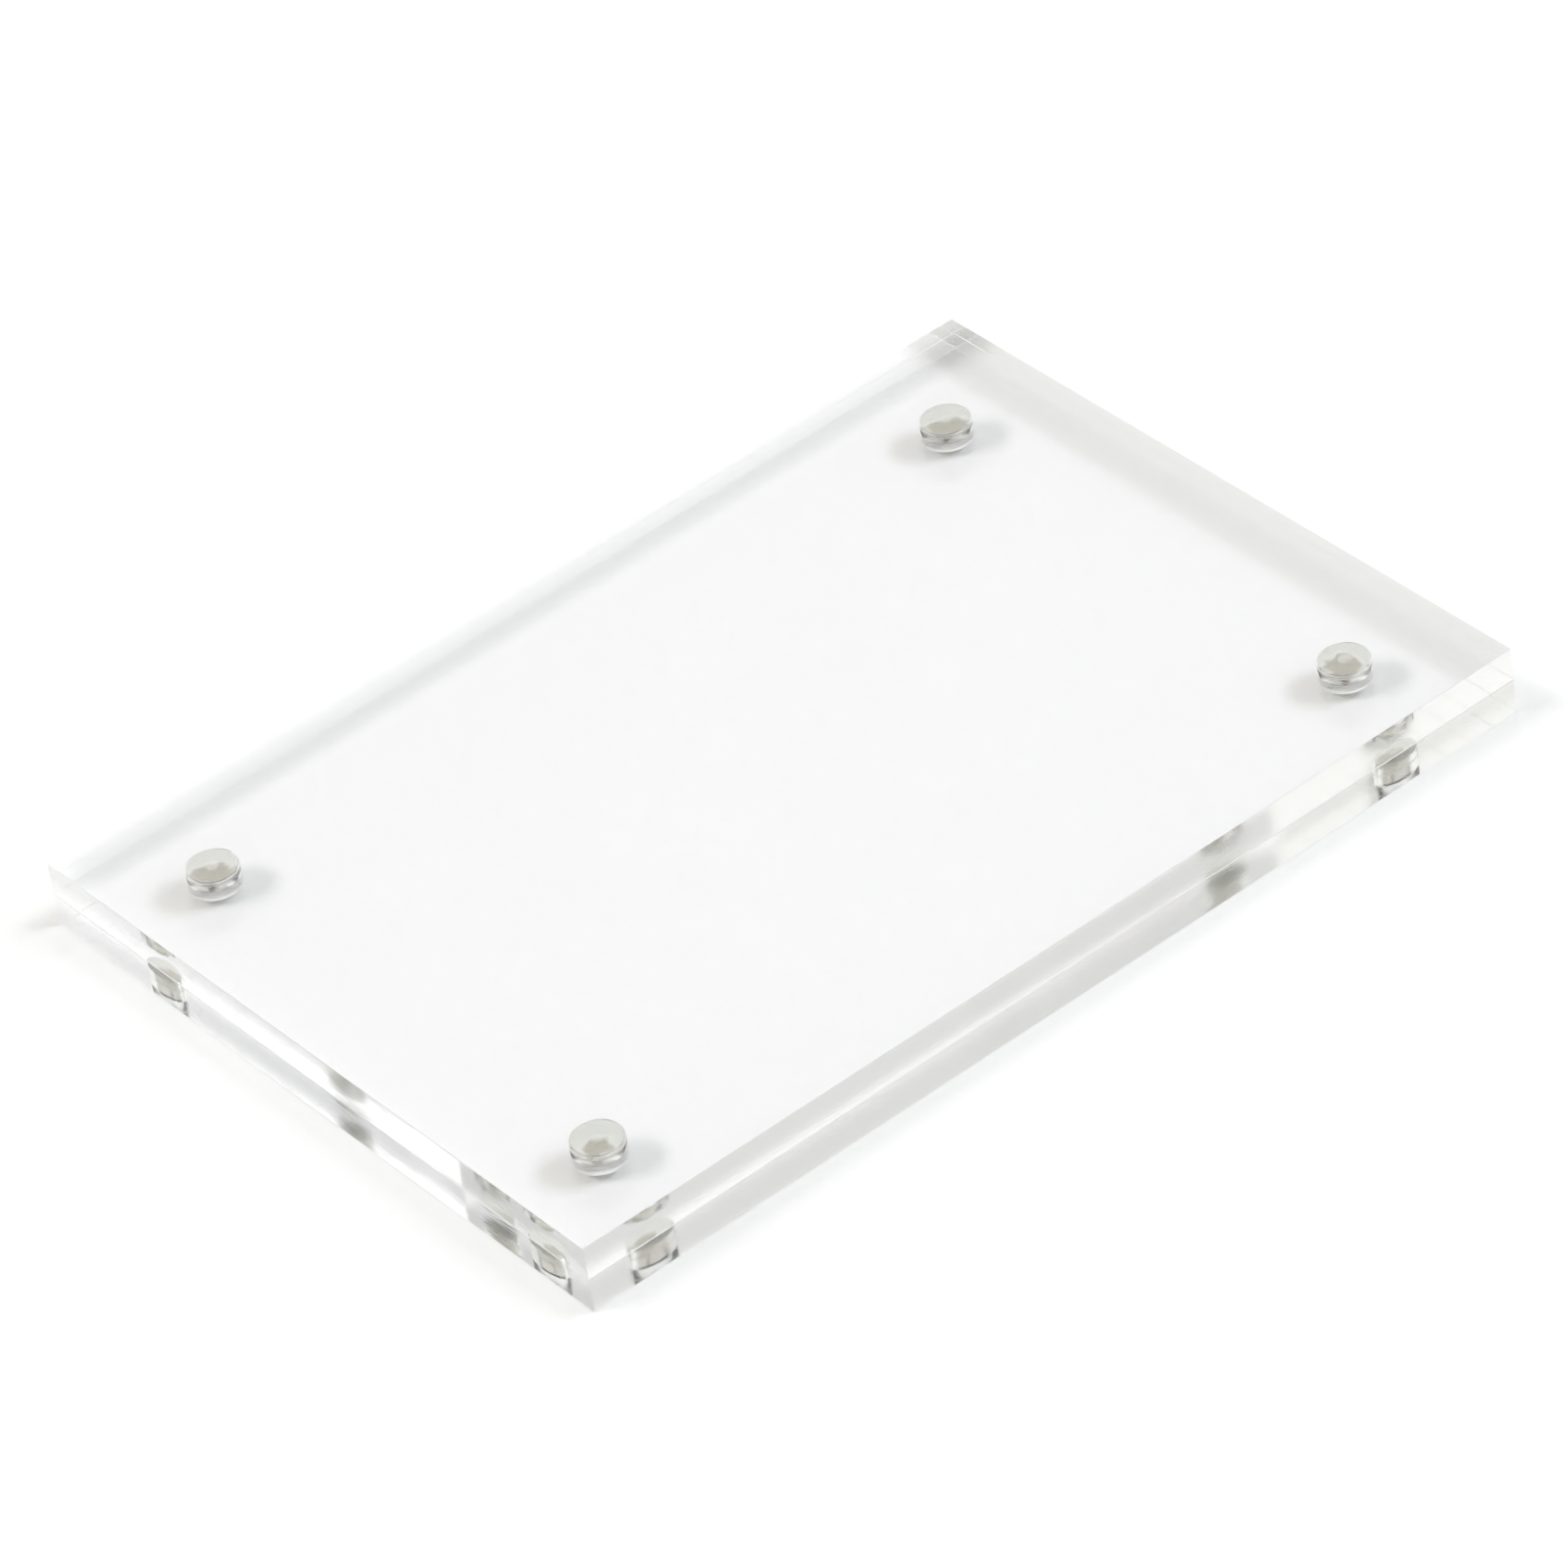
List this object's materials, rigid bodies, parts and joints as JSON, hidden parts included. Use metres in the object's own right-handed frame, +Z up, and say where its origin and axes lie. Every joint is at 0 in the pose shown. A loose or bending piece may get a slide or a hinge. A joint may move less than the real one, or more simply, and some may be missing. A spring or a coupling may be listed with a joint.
{
  "type": "acrylic block frame",
  "caption": "Thick clear acrylic panels held face to face by disc magnets glued into pockets near the corners; holds a print between them.",
  "frame": {"origin": "centre of the rear panel's outer face, which the object lies on", "axes": "+X along the long side, +Y along the short side, +Z up through the thickness from the rear panel to the front panel"},
  "size_m": [0.1778, 0.127, 0.0118],
  "materials": {
    "clear_acrylic": "clear cast acrylic, polished faces and edges",
    "nickel_plate": "bright nickel plate on a sintered magnet",
    "set_glue": "thin set glue, hazy and partly clear"
  },
  "bodies": {
    "rear": {"rear_panel": "clear_acrylic", "rear_magnet_1": "nickel_plate", "rear_magnet_2": "nickel_plate", "rear_magnet_3": "nickel_plate", "rear_magnet_4": "nickel_plate", "rear_glue_1": "set_glue", "rear_glue_2": "set_glue", "rear_glue_3": "set_glue", "rear_glue_4": "set_glue"},
    "front": {"front_panel": "clear_acrylic", "front_magnet_1": "nickel_plate", "front_magnet_2": "nickel_plate", "front_magnet_3": "nickel_plate", "front_magnet_4": "nickel_plate", "front_glue_1": "set_glue", "front_glue_2": "set_glue", "front_glue_3": "set_glue", "front_glue_4": "set_glue"}
  },
  "joints": [
    {"name": "front_lift", "type": "slide", "parent": "rear", "child": "front", "axis": [0, 0, 1], "range_m": [0, 0.04]}
  ]
}
